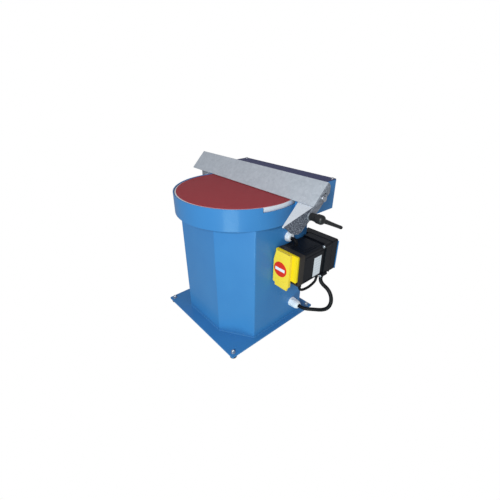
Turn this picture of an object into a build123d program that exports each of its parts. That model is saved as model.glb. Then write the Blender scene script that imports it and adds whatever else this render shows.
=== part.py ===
from build123d import *
import math
import os

# A bench disc sander whose disc lies flat and turns about a vertical axis.  A flange motor hangs inside a
# folded steel column, a round drum stands on the column around the disc, a sheet hood takes the dust at the
# back, and a galvanised fence that tilts lies across the disc.  Millimetres.  +Z is up, the operator stands
# on the -Y side, and the origin is on the disc's axis at floor level.

# ---------------------------------------------------------------- driving dimensions
# base
plate_width = 360.0
plate_depth = 350.0
plate_thickness = 5.0
foot_height = 10.0
foot_radius = 12.0
foot_inset = 13.0
foot_bolt_radius = 3.0
vent_radius = 70.0
# column, a folded sheet open at both ends
column_half_width = 163.8
column_front = -139.4
column_rear = 128.0
column_front_left = -94.4
column_front_right = 69.3
column_side_start = -79.1
column_height = 352.5
column_wall = 2.5
fold_radius = 5.0
# drum around the disc
drum_radius = 182.5
drum_wall = 3.0
drum_height = 57.7
drum_floor = 4.0
notch_depth = 12.5
notch_start = -20.0
notch_end = 160.0
dust_slot_start = 16.0
dust_slot_end = 158.0
dust_slot_sill = 22.0
# disc and abrasive
disc_clearance = 1.5
disc_thickness = 12.0
abrasive_thickness = 1.2
abrasive_margin = 3.6
abrasive_below_rim = 0.2
# hub
hub_flange_radius = 60.0
hub_flange_thickness = 8.0
hub_boss_radius = 26.0
hub_boss_length = 26.0
hub_recess_radius = 18.0
hub_screw_circle = 48.0
hub_screw_radius = 3.0
# motor
shaft_radius = 12.0
shaft_mid_radius = 15.0
bearing_radius = 26.0
bearing_width = 15.0
motor_flange_radius = 100.0
motor_flange_thickness = 12.0
motor_spigot_radius = 65.0
motor_spigot_height = 3.5
motor_bolt_circle = 82.5
motor_bolt_radius = 5.0
motor_radius = 72.0
motor_wall = 6.0
motor_length = 180.0
motor_shield_depth = 25.5
fin_height = 8.0
fin_thickness = 3.0
fin_count = 28
core_length = 100.0
air_gap = 0.5
stator_bore_radius = 45.0
winding_height = 22.0
fan_radius = 60.0
fan_height = 18.0
fan_cover_length = 52.0
fan_cover_wall = 2.0
# fence
fence_overhang_left = 97.0
fence_overhang_right = 55.7
fence_height = 70.0
fence_thickness = 3.0
fence_lean = 45.0
fence_edge_y = 30.0
fence_gap = 3.0
fence_lift = 12.0
cheek_thickness = 3.0
cheek_depth = 23.0
cheek_corner = 12.0
cheek_lobe_radius = 12.0
lug_width = 18.0
lug_low = 14.0
lug_high = 62.0
slot_low = 31.0
slot_across = 11.5
pivot_y = 20.0
pivot_below_rim = 18.2
m8_radius = 4.0
running_gap = 0.06
side_gap = 0.3
# arms that carry the fence
arm_thickness = 3.0
arm_tip_y = -68.0
arm_tip_below_rim = 22.9
arm_corner_radius = 6.0
arm_side_depth = 16.0
arm_belly = [(-8.0, 30.8), (-20.0, 32.8), (-42.0, 24.3)]
arm_slope = 12.7
arm_side_rear = 44.0
arm_flange_rear = 75.0
arm_tip_width = 9.1
arm_tip_cut = 5.0
arm_hood_gap = 1.3
arm_bolt_ys = (60.0, 84.0)
rest_left = -256.0
rest_y = 46.0
rest_clearance = 15.0
arm_bolt_above_pivot = 3.0
arm_tab_rear = 95.0
# dust hood
hood_side_gap = 8.5
hood_rear_gap = 17.5
hood_front = 45.0
hood_upper_front = 79.0
hood_above_rim = 26.8
hood_shoulder_below_rim = 1.2
hood_wall = 2.0
lid_thickness = 2.0
lid_screw_inset = 8.0
spigot_radius = 30.0
spigot_wall = 1.5
spigot_length = 45.0
# switch box
box_left = 167.0
box_right = 247.0
box_below_column_top = 69.5
box_height = 92.0
box_front = 18.0
box_step = 108.0
box_rear = 160.0
box_flare = 3.5
box_behind_left = 140.0
box_behind_gap = 3.0
box_wall = 2.5
collar_front = 1.0
frame_front = -5.0
frame_right = 243.5
frame_above_box_low = 13.0
flap_left = 168.0
flap_right = 225.0
flap_front = -14.0
flap_below_box = 10.0
flap_lip_below_box = 21.0
flap_corner_drop = 30.0
flap_corner_cut = 8.0
flap_wall = 2.0
flap_pin_radius = 1.5
flap_pin_y = -8.5
flap_pin_below_top = 3.0
button_radius = 8.0
button_x = 195.0
stop_button_below_top = 58.0
stop_disc_radius = 22.5
stop_disc_below_top = 53.2
start_button_below_top = 28.0
button_travel = 3.0
bracket_thickness = 3.0
# glands and leads
gland_radius = 15.0
gland_length = 32.0
lower_gland_y = 82.0
lower_gland_z = 70.0
upper_gland_y = 44.0
upper_gland_above_box = 18.0
upper_gland_length = 13.0
box_gland_x = 236.0
box_gland_y = 120.0
box_gland_radius = 8.0
box_gland_nose = 12.0
box_gland_reach = 20.0
motor_lead_diameter = 11.5
link_lead_diameter = 7.5
elbow_reach = 17.0
elbow_bend = 9.0
elbow_radius = 5.5
link_lead_x = 243.0
link_lead_front = 12.0
link_lead_rear = 86.0
grommet_length = 5.0

# ---------------------------------------------------------------- levels worked out from them
plate_top = foot_height + plate_thickness
column_top = plate_top + column_height
drum_top = column_top + drum_height
floor_top = column_top + drum_floor
abrasive_top = drum_top - abrasive_below_rim
disc_top = abrasive_top - abrasive_thickness
disc_low = disc_top - disc_thickness
hub_flange_low = disc_low - hub_flange_thickness
hub_low = hub_flange_low - hub_boss_length
shaft_top = hub_flange_low - 1.0
disc_radius = drum_radius - drum_wall - disc_clearance
hood_half_width = drum_radius + hood_side_gap
hood_rear = drum_radius + hood_rear_gap
hood_top = drum_top + hood_above_rim
hood_shoulder = drum_top - hood_shoulder_below_rim
fence_right = hood_half_width + fence_overhang_right
fence_left = -hood_half_width - fence_overhang_left
pivot_z = drum_top - pivot_below_rim
arm_tip_z = drum_top - arm_tip_below_rim
arm_bolt_z = pivot_z + arm_bolt_above_pivot
box_high = column_top - box_below_column_top
box_low = box_high - box_height
frame_low = box_low + frame_above_box_low
flap_low = box_low - flap_below_box
flap_lip_low = box_low - flap_lip_below_box
flap_pin_z = box_high - flap_pin_below_top
stop_button_z = box_high - stop_button_below_top
start_button_z = box_high - start_button_below_top
upper_gland_z = box_high + upper_gland_above_box
fence_edge_z = abrasive_top + fence_gap
lean = math.radians(fence_lean)
up_slope = (math.sin(lean), math.cos(lean))
behind = (math.cos(lean), -math.sin(lean))

os.makedirs("parts", exist_ok=True)


# ---------------------------------------------------------------- helpers
def save(name, *solids):
    """Writes one node: one solid, or several separate solids of the same kind."""
    shapes = [s for item in solids for s in item.solids()]
    export_step(Compound(children=shapes) if len(shapes) > 1 else shapes[0], f"parts/{name}.step")


def block(x0, x1, y0, y1, z0, z1):
    return Pos((x0 + x1) / 2, (y0 + y1) / 2, (z0 + z1) / 2) * Box(x1 - x0, y1 - y0, z1 - z0)


def upright(radius, z0, z1, x=0.0, y=0.0):
    """A cylinder standing on Z."""
    return Pos(x, y, (z0 + z1) / 2) * Cylinder(radius, z1 - z0)


def along_x(radius, x0, x1, y, z):
    return Pos((x0 + x1) / 2, y, z) * Rot(0, 90, 0) * Cylinder(radius, abs(x1 - x0))


def along_y(radius, y0, y1, x, z):
    return Pos(x, (y0 + y1) / 2, z) * Rot(90, 0, 0) * Cylinder(radius, abs(y1 - y0))


def hexagon(across_flats, height):
    return extrude(RegularPolygon(across_flats / math.sqrt(3), 6), height)


def hex_x(across_flats, x0, x1, y, z):
    """A hexagon prism along X, from x0 to x1."""
    return Pos(min(x0, x1), y, z) * Rot(0, 90, 0) * hexagon(across_flats, abs(x1 - x0))


def outline_x(points, x0, x1):
    """A plate in the YZ plane, from x0 to x1, with (y, z) points as its outline."""
    face = make_face(Plane.YZ * Polyline(*points, close=True))
    return Pos(x0, 0, 0) * extrude(face, x1 - x0, dir=(1, 0, 0))


def revolved(points):
    """A solid turned about Z from (radius, z) points."""
    return revolve(make_face(Plane.XZ * Polyline(*points, close=True)), Axis.Z)


def on_fence(u, w):
    """The (y, z) place of a point u up the fence's face and w behind that face, at rest."""
    return (
        fence_edge_y + u * up_slope[0] + w * behind[0],
        fence_edge_z + u * up_slope[1] + w * behind[1],
    )


def fence_local(y, z):
    """The (u, w) of a point given as (y, z), the reverse of on_fence."""
    dy, dz = y - fence_edge_y, z - fence_edge_z
    return (dy * up_slope[0] + dz * up_slope[1], dy * behind[0] + dz * behind[1])


def wedge(start_deg, end_deg, radius, z0, z1):
    """A sector of a cylinder between two angles from +X towards +Y."""
    steps = 24
    angles = [math.radians(start_deg + (end_deg - start_deg) * i / steps) for i in range(steps + 1)]
    rim = [(radius * math.cos(a), radius * math.sin(a)) for a in angles]
    face = make_face(Polyline((0, 0), *rim, close=True))
    return Pos(0, 0, z0) * extrude(face, z1 - z0)


# ---------------------------------------------------------------- base plate and feet
foot_places = [
    (sx * (plate_width / 2 - foot_inset), sy * (plate_depth / 2 - foot_inset))
    for sx in (-1, 1) for sy in (-1, 1)
]
foot_bolt_hole = foot_bolt_radius + 0.4
base_plate = block(-plate_width / 2, plate_width / 2, -plate_depth / 2, plate_depth / 2,
                   foot_height, plate_top)
base_plate = fillet(base_plate.edges().filter_by(Axis.Z), 3.0)
base_plate -= upright(vent_radius, foot_height - 1, plate_top + 1)
for x, y in foot_places:
    base_plate -= upright(foot_bolt_hole, foot_height - 1, plate_top + 1, x, y)
save("base_plate", base_plate)

bolt_head_height = 4.0
washer_height = 1.2
nut_height = 5.0
feet, bolts, nuts = [], [], []
for x, y in foot_places:
    foot = Pos(x, y, foot_height / 2) * Cone(foot_radius - 2, foot_radius, foot_height)
    foot -= upright(7.0, -1, 1.0 + bolt_head_height, x, y)
    foot -= upright(foot_bolt_hole, 0, foot_height + 1, x, y)
    feet.append(foot)
    head = Pos(x, y, 1.0) * hexagon(10.0, bolt_head_height)
    bolt_top = plate_top + washer_height + nut_height
    bolts.append(head + upright(foot_bolt_radius, 1.0, bolt_top, x, y))
    nut = upright(6.5, plate_top, plate_top + washer_height, x, y)
    nut += Pos(x, y, plate_top + washer_height) * hexagon(10.0, nut_height)
    dome = Pos(x, y, bolt_top) * Sphere(4.5) & upright(5.0, bolt_top - 0.5, bolt_top + 9, x, y)
    nuts.append(nut + dome - upright(foot_bolt_radius, plate_top, bolt_top, x, y))
save("rubber_feet", *feet)
save("foot_bolts", *bolts)
save("foot_cap_nuts", *nuts)

# ---------------------------------------------------------------- column
column_points = [
    (column_front_left, column_front),
    (column_front_right, column_front),
    (column_half_width, column_side_start),
    (column_half_width, column_rear),
    (-column_half_width, column_rear),
    (-column_half_width, column_side_start),
]
column_outline = make_face(Polyline(*column_points, close=True))
column_outline = fillet(column_outline.vertices(), fold_radius)
column_inside = offset(column_outline, -column_wall)
column = Pos(0, 0, plate_top) * extrude(column_outline, column_height)
column -= Pos(0, 0, plate_top - 1) * extrude(column_inside, column_height + 2)
gland_thread_radius = 10.0
for y, z in ((lower_gland_y, lower_gland_z), (upper_gland_y, upper_gland_z)):
    column -= along_x(gland_thread_radius, column_half_width - 10, column_half_width + 10, y, z)
for x in (-60.0, -20.0, 20.0, 60.0):
    for z in (60.0, 80.0, 100.0):
        column -= block(x - 14, x + 14, column_rear - 10, column_rear + 10, z - 3, z + 3)
save("column", column)

# ---------------------------------------------------------------- drum
drum_inner = drum_radius - drum_wall
drum = upright(drum_radius, column_top, drum_top) - upright(drum_inner, floor_top, drum_top + 1)
drum -= wedge(notch_start, notch_end, drum_radius + 20, drum_top - notch_depth, drum_top + 1)
drum -= wedge(dust_slot_start, dust_slot_end, drum_radius + 20, floor_top + dust_slot_sill, drum_top + 1)
drum -= upright(motor_spigot_radius, column_top - 1, floor_top + 1)
motor_bolt_places = [
    (motor_bolt_circle * math.cos(math.radians(a)), motor_bolt_circle * math.sin(math.radians(a)))
    for a in (45, 135, 225, 315)
]
for x, y in motor_bolt_places:
    drum -= upright(motor_bolt_radius + 0.5, column_top - 1, floor_top + 1, x, y)
save("drum", drum)

# ---------------------------------------------------------------- disc, abrasive and hub
hub_screw_places = [
    (hub_screw_circle * math.cos(math.radians(a)), hub_screw_circle * math.sin(math.radians(a)))
    for a in (30, 90, 150, 210, 270, 330)
]
save("abrasive_disc", upright(disc_radius - abrasive_margin, disc_top, abrasive_top))

backing_disc = upright(disc_radius, disc_low, disc_top)
backing_disc = chamfer(backing_disc.edges().filter_by(GeomType.CIRCLE), 0.5)
hub = revolved(
    [
        (shaft_radius, hub_low),
        (hub_boss_radius, hub_low),
        (hub_boss_radius, hub_flange_low),
        (hub_flange_radius, hub_flange_low),
        (hub_flange_radius, disc_low),
        (hub_recess_radius, disc_low),
        (hub_recess_radius, hub_flange_low),
        (shaft_radius, hub_flange_low),
    ]
)
key = block(-4, 4, shaft_radius - 4, shaft_radius + 3, hub_low + 1, hub_low + 23)
hub -= key
screw_depth = 8.0
hub_screws = []
for x, y in hub_screw_places:
    backing_disc -= upright(hub_screw_radius, disc_low - 1, disc_low + screw_depth, x, y)
    hub -= upright(hub_screw_radius + 0.4, hub_flange_low - 1, disc_low + 1, x, y)
    head = upright(5.0, hub_flange_low - 4, hub_flange_low, x, y)
    hub_screws.append(head + upright(hub_screw_radius, hub_flange_low, disc_low + screw_depth, x, y))
save("backing_disc", backing_disc)
save("disc_hub", hub)
save("disc_screws", *hub_screws)
save("shaft_key", key)

retaining_screw = upright(m8_radius, shaft_top - 18, hub_flange_low + 1)
retaining_screw += upright(hub_recess_radius - 2, hub_flange_low, hub_flange_low + 2.5)
retaining_screw += Pos(0, 0, hub_flange_low + 2.5) * hexagon(13.0, hub_flange_thickness - 3.5)
save("retaining_screw", retaining_screw)

# ---------------------------------------------------------------- motor, from the flange downwards
flange_low = column_top - motor_flange_thickness
shield_low = flange_low - motor_shield_depth
housing_low = shield_low - motor_length
upper_bearing_low = flange_low - 4
upper_bearing_top = upper_bearing_low + bearing_width
lower_bearing_low = housing_low - 4
lower_bearing_top = lower_bearing_low + bearing_width
motor_inner = motor_radius - motor_wall
shaft_hole = shaft_radius + 1.5
core_low = (shield_low + housing_low) / 2 - core_length / 2
core_top = core_low + core_length

drive_shield = revolved(
    [
        (shaft_hole, column_top + motor_spigot_height),
        (motor_spigot_radius, column_top + motor_spigot_height),
        (motor_spigot_radius, column_top),
        (motor_flange_radius, column_top),
        (motor_flange_radius, flange_low),
        (motor_radius, flange_low),
        (motor_radius, shield_low),
        (motor_inner, shield_low),
        (motor_inner, upper_bearing_low),
        (bearing_radius, upper_bearing_low),
        (bearing_radius, upper_bearing_top),
        (shaft_hole, upper_bearing_top),
    ]
)
motor_bolts = []
for x, y in motor_bolt_places:
    drive_shield -= upright(motor_bolt_radius, flange_low - 1, column_top + 1, x, y)
    head = Pos(x, y, floor_top) * hexagon(17.0, 6.5)
    motor_bolts.append(head + upright(motor_bolt_radius, flange_low - 4, floor_top + 1, x, y))
save("motor_drive_shield", drive_shield)
save("motor_bolts", *motor_bolts)

motor_frame = upright(motor_radius, housing_low, shield_low)
fin = block(motor_radius - 1, motor_radius + fin_height, -fin_thickness / 2, fin_thickness / 2,
            housing_low + 8, shield_low - 8)
motor_frame += [Rot(0, 0, i * 360 / fin_count) * fin for i in range(fin_count)]
motor_frame -= upright(motor_inner, housing_low - 1, shield_low + 1)
save("motor_frame", motor_frame)

stator_bore = upright(stator_bore_radius, core_low - 1, core_top + 1)
save("stator_core", upright(motor_inner, core_low, core_top) - stator_bore)
windings = []
for z0, z1 in ((core_low - winding_height, core_low), (core_top, core_top + winding_height)):
    ring = upright(motor_inner - 3, z0, z1) - upright(stator_bore_radius + 3, z0 - 1, z1 + 1)
    windings.append(fillet(ring.edges().filter_by(GeomType.CIRCLE), 3.0))
save("stator_windings", *windings)

save("rotor_core", upright(stator_bore_radius - air_gap, core_low, core_top)
     - upright(shaft_mid_radius, core_low - 1, core_top + 1))
fan_low = lower_bearing_low - 8 - fan_height
shaft = upright(shaft_radius, fan_low, shaft_top)
shaft += upright(shaft_mid_radius, lower_bearing_top + 2, upper_bearing_low - 2)
shaft -= key
shaft -= upright(m8_radius, shaft_top - 18, shaft_top + 1)
save("rotor_shaft", shaft)

bearings = []
for z0, z1 in ((upper_bearing_low, upper_bearing_top), (lower_bearing_low, lower_bearing_top)):
    shaft_way = upright(shaft_radius + running_gap / 2, z0 - 1, z1 + 1)
    bearings.append(upright(bearing_radius, z0, z1) - shaft_way)
save("motor_bearings", *bearings)

fan_shield = revolved(
    [
        (motor_radius, housing_low),
        (motor_inner, housing_low),
        (motor_inner, housing_low - 6),
        (bearing_radius + 8, housing_low - 6),
        (bearing_radius + 8, lower_bearing_top),
        (bearing_radius, lower_bearing_top),
        (bearing_radius, lower_bearing_low),
        (shaft_hole, lower_bearing_low),
        (shaft_hole, lower_bearing_low - 4),
        (bearing_radius + 8, lower_bearing_low - 4),
        (bearing_radius + 8, housing_low - 12),
        (motor_radius, housing_low - 12),
    ]
)
save("motor_fan_shield", fan_shield)

cooling_fan = upright(20.0, fan_low, fan_low + fan_height) + upright(fan_radius, fan_low + fan_height - 2,
                                                                   fan_low + fan_height)
blade = block(18.0, fan_radius, -1.2, 1.2, fan_low, fan_low + fan_height - 1)
cooling_fan += [Rot(0, 0, i * 45) * blade for i in range(8)]
cooling_fan -= upright(shaft_radius, fan_low - 1, fan_low + fan_height + 1)
save("cooling_fan", cooling_fan)

fan_cover_top = housing_low - 12
fan_cover_low = fan_cover_top - fan_cover_length
fan_cover = upright(motor_radius, fan_cover_low, fan_cover_top)
fan_cover -= upright(motor_radius - fan_cover_wall, fan_cover_low + fan_cover_wall, fan_cover_top + 1)
for ring_radius, holes in ((18.0, 6), (34.0, 12), (50.0, 18)):
    for i in range(holes):
        a = 2 * math.pi * i / holes
        fan_cover -= upright(4.0, fan_cover_low - 1, fan_cover_low + 4,
                             ring_radius * math.cos(a), ring_radius * math.sin(a))
save("fan_cover", fan_cover)

terminal_z = (shield_low + housing_low) / 2
terminal_box = block(motor_radius - 1, motor_radius + 34, -34, 34, terminal_z - 34, terminal_z + 34)
terminal_box -= block(motor_radius + 12, motor_radius + 40, -31, 31, terminal_z - 31, terminal_z + 31)
terminal_box -= motor_frame
terminal_box -= upright(motor_radius, housing_low, shield_low)
save("terminal_box", terminal_box.solids().sort_by(SortBy.VOLUME)[-1])
terminal_lid = block(motor_radius + 34, motor_radius + 37, -34, 34, terminal_z - 34, terminal_z + 34)
save("terminal_lid", fillet(terminal_lid.edges().filter_by(Axis.X), 4.0))

# ---------------------------------------------------------------- dust hood, lid and outlet
hood_side = [
    (hood_front, column_top),
    (hood_rear, column_top),
    (hood_rear, hood_top),
    (hood_upper_front, hood_top),
    (hood_upper_front, hood_shoulder),
    (hood_front, hood_shoulder),
]
hood = outline_x(hood_side, -hood_half_width, hood_half_width)
inner_half_width = hood_half_width - hood_wall
hood -= block(-inner_half_width, inner_half_width, hood_front + hood_wall, hood_rear - hood_wall,
              column_top + hood_wall, hood_top + 1)
hood -= upright(drum_radius, column_top - 1, hood_top + 1)
hood -= block(-disc_radius, disc_radius, hood_front - 1, hood_front + 40, drum_top, hood_top + 1)
tab = 14.0
lid_screw_places = [
    (sx * (hood_half_width - lid_screw_inset), y)
    for sx in (-1, 1)
    for y in (hood_upper_front + lid_screw_inset, hood_rear - lid_screw_inset)
]
for x, y in lid_screw_places:
    side = 1 if x > 0 else -1
    tab_ends = (x - side * tab / 2, side * inner_half_width)
    corner = block(min(tab_ends), max(tab_ends),
                   y - tab / 2, min(y + tab / 2, hood_rear - hood_wall), hood_top - 3, hood_top)
    hood += corner
outlet_z = column_top + hood_wall + spigot_radius + 2.5
hood -= along_y(spigot_radius - spigot_wall, hood_rear - 10, hood_rear + 10, 0, outlet_z)
lid = block(-hood_half_width, hood_half_width, hood_upper_front, hood_rear,
            hood_top, hood_top + lid_thickness)
lid = fillet(lid.edges().filter_by(Axis.Z), 2.0)
lid_screws = []
for x, y in lid_screw_places:
    hood -= upright(2.5, hood_top - 4, hood_top + 1, x, y)
    lid -= upright(2.9, hood_top - 1, hood_top + 5, x, y)
    head = Pos(x, y, hood_top + lid_thickness) * Sphere(5.0) & upright(
        5.0, hood_top + lid_thickness, hood_top + lid_thickness + 4, x, y)
    lid_screws.append(head + upright(2.5, hood_top - 6, hood_top + lid_thickness, x, y))
save("hood_lid", lid)
save("lid_screws", *lid_screws)
spigot = along_y(spigot_radius, hood_rear, hood_rear + spigot_length, 0, outlet_z)
spigot -= along_y(spigot_radius - spigot_wall, hood_rear - 1, hood_rear + spigot_length + 1, 0, outlet_z)
save("dust_spigot", spigot)

# ---------------------------------------------------------------- arms that carry the fence
slope = math.tan(math.radians(arm_slope))


def arm_level(y):
    """Height of the right arm's top flange at y."""
    return arm_tip_z + slope * (y - arm_tip_y)


cheek_out_right = fence_right + side_gap
arm_side_out = fence_right
arm_side_in = arm_side_out - arm_thickness
arm_side = outline_x(
    [
        (arm_tip_y, arm_tip_z),
        (arm_side_rear, arm_level(arm_side_rear)),
        (arm_side_rear, arm_level(arm_side_rear) - arm_side_depth),
        *[(y, arm_tip_z - drop) for y, drop in arm_belly],
    ],
    arm_side_in,
    arm_side_out,
)
arm_side = fillet(arm_side.edges().filter_by(Axis.X).sort_by(Axis.Z)[:3], arm_corner_radius)
flange_slab = outline_x(
    [
        (arm_tip_y, arm_tip_z),
        (arm_flange_rear, arm_level(arm_flange_rear)),
        (arm_flange_rear, arm_level(arm_flange_rear) - arm_thickness),
        (arm_tip_y, arm_tip_z - arm_thickness),
    ],
    hood_half_width,
    arm_side_out,
)
flange_plan = make_face(
    Polyline(
        (arm_side_out, arm_tip_y),
        (arm_side_out, arm_side_rear),
        (arm_side_in - 0.5, arm_side_rear),
        (arm_side_in - 0.5, arm_flange_rear),
        (hood_half_width, arm_flange_rear),
        (hood_half_width, hood_front + arm_hood_gap),
        (arm_side_out - arm_tip_width, arm_tip_y + arm_tip_cut),
        (arm_side_out - arm_tip_width + 2, arm_tip_y),
        close=True,
    )
)
arm_flange = flange_slab & Pos(0, 0, column_top - 100) * extrude(flange_plan, 200)
tab_top = arm_level(hood_front + 6) - arm_thickness + 0.5
arm_tab = block(hood_half_width, hood_half_width + arm_thickness, hood_front + 4, arm_tab_rear,
                pivot_z - 7, tab_top)
arm_right = arm_side + arm_flange + arm_tab
arm_right -= along_x(m8_radius, arm_side_in - 1, arm_side_out + 1, pivot_y, pivot_z)

arm_left = block(-hood_half_width - arm_thickness, -hood_half_width, pivot_y, arm_tab_rear,
                 pivot_z - cheek_lobe_radius, pivot_z + cheek_lobe_radius)
arm_left += along_x(cheek_lobe_radius, -hood_half_width - arm_thickness, -hood_half_width, pivot_y, pivot_z)
arm_left -= along_x(m8_radius, -hood_half_width - 9, -hood_half_width + 9, pivot_y, pivot_z)
rest_low, rest_step, rest_top = pivot_z - 11, pivot_z + 2, pivot_z + 17
rest_inner = -hood_half_width - rest_clearance
arm_left += block(rest_left, -hood_half_width, rest_y, rest_y + arm_thickness, rest_low, rest_step)
arm_left += block(rest_left, rest_inner, rest_y, rest_y + arm_thickness, rest_step - 1, rest_top)

arm_bolts = []
m6_radius = 3.0
for y in arm_bolt_ys:
    for side in (-1, 1):
        z = arm_bolt_z
        outer = hood_half_width + arm_thickness
        hole = along_x(m6_radius, side * (hood_half_width - 9), side * (outer + 9), y, z)
        hood -= hole
        arm_right -= hole
        arm_left -= hole
        bolt = along_x(m6_radius, side * (hood_half_width - hood_wall - 6), side * outer, y, z)
        bolt += hex_x(10.0, side * outer, side * (outer + 4), y, z)
        inner_skin = hood_half_width - hood_wall
        bolt += hex_x(10.0, side * (inner_skin - 5), side * inner_skin, y, z)
        arm_bolts.append(bolt)
save("dust_hood", hood)
save("arm_right", arm_right)
save("arm_left", arm_left)
save("arm_bolts", *arm_bolts)

# ---------------------------------------------------------------- fence, its lugs and its cheeks
cheek_left_in = -(hood_half_width + arm_thickness) - 1.0 - side_gap
lug_left_in = -(hood_half_width + 1.3)
fence_points = [on_fence(0, 0), on_fence(fence_height, 0), on_fence(fence_height, fence_thickness),
                on_fence(0, fence_thickness)]
fence_plate = outline_x(fence_points, fence_left, fence_right)
save("fence_plate", fence_plate)

lug_points = [on_fence(lug_low, fence_thickness), on_fence(lug_high, fence_thickness),
              on_fence(lug_high, fence_thickness + lug_width),
              on_fence(lug_low, fence_thickness + lug_width)]
bolt_y, bolt_z = on_fence(slot_low, slot_across)
lug_right = outline_x(lug_points, fence_right - 3.0, fence_right)
lug_left = outline_x(lug_points, cheek_left_in + side_gap, lug_left_in)
fence_lugs = [
    lug - along_x(m8_radius, -400, 400, bolt_y, bolt_z) for lug in (lug_right, lug_left)
]
save("fence_lugs", *fence_lugs)

pivot_u, pivot_w = fence_local(pivot_y, pivot_z)


def cheek(x0, x1, face):
    """An end plate, from face behind the fence's front, that narrows to a lobe on the pivot."""
    strip = [(-2.0, face), (fence_height - 1, face), (fence_height - 1, cheek_depth - cheek_corner),
             (fence_height - 1 - cheek_corner, cheek_depth), (4.0, cheek_depth)]
    plate = outline_x([on_fence(u, w) for u, w in strip], x0, x1)
    r = cheek_lobe_radius
    neck = [(pivot_u, pivot_w - r), (-1.0, face), (14.0, cheek_depth), (pivot_u, pivot_w + r)]
    plate += outline_x([on_fence(u, w) for u, w in neck], x0, x1)
    plate += along_x(r, x0, x1, pivot_y, pivot_z)
    hole = m8_radius + running_gap
    plate -= along_x(hole, x0 - 1, x1 + 1, pivot_y, pivot_z)
    slot_radius = m8_radius + side_gap
    ends = [on_fence(slot_low, slot_across), on_fence(slot_low + fence_lift, slot_across)]
    for y, z in ends:
        plate -= along_x(slot_radius, x0 - 1, x1 + 1, y, z)
    sides = [(slot_low, slot_across - slot_radius), (slot_low + fence_lift, slot_across - slot_radius),
             (slot_low + fence_lift, slot_across + slot_radius), (slot_low, slot_across + slot_radius)]
    plate -= outline_x([on_fence(u, w) for u, w in sides], x0 - 1, x1 + 1)
    return plate


cheek_right_out = cheek_out_right + cheek_thickness
cheek_left_out = cheek_left_in - cheek_thickness
save("cheek_right", cheek(cheek_out_right, cheek_right_out, 0.0))
save("cheek_left", cheek(cheek_left_out, cheek_left_in, fence_thickness + side_gap))

washer_radius = 8.0
m8_washer = 1.6
m8_head = 5.0
m8_nut = 6.0
fence_bolts = []
for face, inner, side in ((cheek_right_out, fence_right - 3.0, 1), (cheek_left_out, lug_left_in, -1)):
    start = face + side * side_gap
    bolt = along_x(washer_radius, start, start + side * m8_washer, bolt_y, bolt_z)
    bolt += hex_x(13.0, start + side * m8_washer, start + side * (m8_washer + m8_head), bolt_y, bolt_z)
    bolt += along_x(m8_radius, start + side, inner - side * (m8_nut + 1), bolt_y, bolt_z)
    bolt += hex_x(13.0, inner, inner - side * m8_nut, bolt_y, bolt_z)
    fence_bolts.append(bolt)
save("fence_bolts", *fence_bolts)

# ---------------------------------------------------------------- pivots and the clamping lever
lever_start = cheek_right_out + side_gap
lever_length = 38.0
stud_end = lever_start + lever_length - 6
pivot_stud = along_x(m8_radius, arm_side_in - 8, stud_end, pivot_y, pivot_z)
save("pivot_stud", pivot_stud)
stud_nut = hex_x(13.0, arm_side_in - 6.5, arm_side_in, pivot_y, pivot_z)
stud_nut -= along_x(m8_radius, arm_side_in - 9, arm_side_in + 1, pivot_y, pivot_z)

left_face = cheek_left_out - side_gap
pivot_bolt_left = hex_x(13.0, left_face - m8_head, left_face, pivot_y, pivot_z)
pivot_bolt_left += along_x(m8_radius, left_face - 1, -hood_half_width + 7, pivot_y, pivot_z)
save("pivot_bolt_left", pivot_bolt_left)
left_nut = hex_x(13.0, -hood_half_width, -hood_half_width + 6.0, pivot_y, pivot_z)
left_nut -= along_x(m8_radius, -hood_half_width - 1, -hood_half_width + 9, pivot_y, pivot_z)
save("pivot_nuts", stud_nut, left_nut)

hub_x0, hub_x1 = lever_start, lever_start + lever_length
clamp_hub = revolve(
    make_face(
        Plane.XY * Polyline((hub_x0, 0), (hub_x0, 9.0), (hub_x0 + 14, 9.5), (hub_x0 + 20, 11.5), (hub_x1 - 6, 11.5),
                            (hub_x1 - 1, 9.0), (hub_x1, 6.5), (hub_x1, 0), close=True)
    ),
    Axis.X,
)
clamp_hub = Pos(0, pivot_y, pivot_z) * clamp_hub
lever_root = (hub_x0 + 25.0, pivot_y, pivot_z)
lever_tip = (hub_x0 + 45.0, pivot_y + 65.0, pivot_z - 33.0)
lever_line = Line(lever_root, lever_tip)
lever_plane = Plane(origin=lever_root, z_dir=Vector(*lever_tip) - Vector(*lever_root))
lever_reach = lever_line.length
lever_arm = loft([lever_plane * Circle(6.5), lever_plane.offset(lever_reach) * Circle(4.3)])
lever_arm += Pos(*lever_tip) * Sphere(4.3)
clamp_lever = clamp_hub + lever_arm
clamp_lever -= along_x(m8_radius + running_gap, hub_x0 - 1, stud_end + 1, pivot_y, pivot_z)
save("clamp_lever", clamp_lever)

# ---------------------------------------------------------------- switch bracket and switch box
wide_right = box_right + box_flare
wide_low = box_low - 3.0
wide_high = box_high + 3.0
bracket = block(box_behind_left - bracket_thickness, wide_right + 2, box_rear, box_rear + bracket_thickness,
                wide_low + 2, wide_high - 6)
bracket += block(box_behind_left - bracket_thickness, box_behind_left, column_rear, box_rear + 1,
                 wide_low + 2, wide_high - 6)
save("switch_bracket", bracket)

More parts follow.
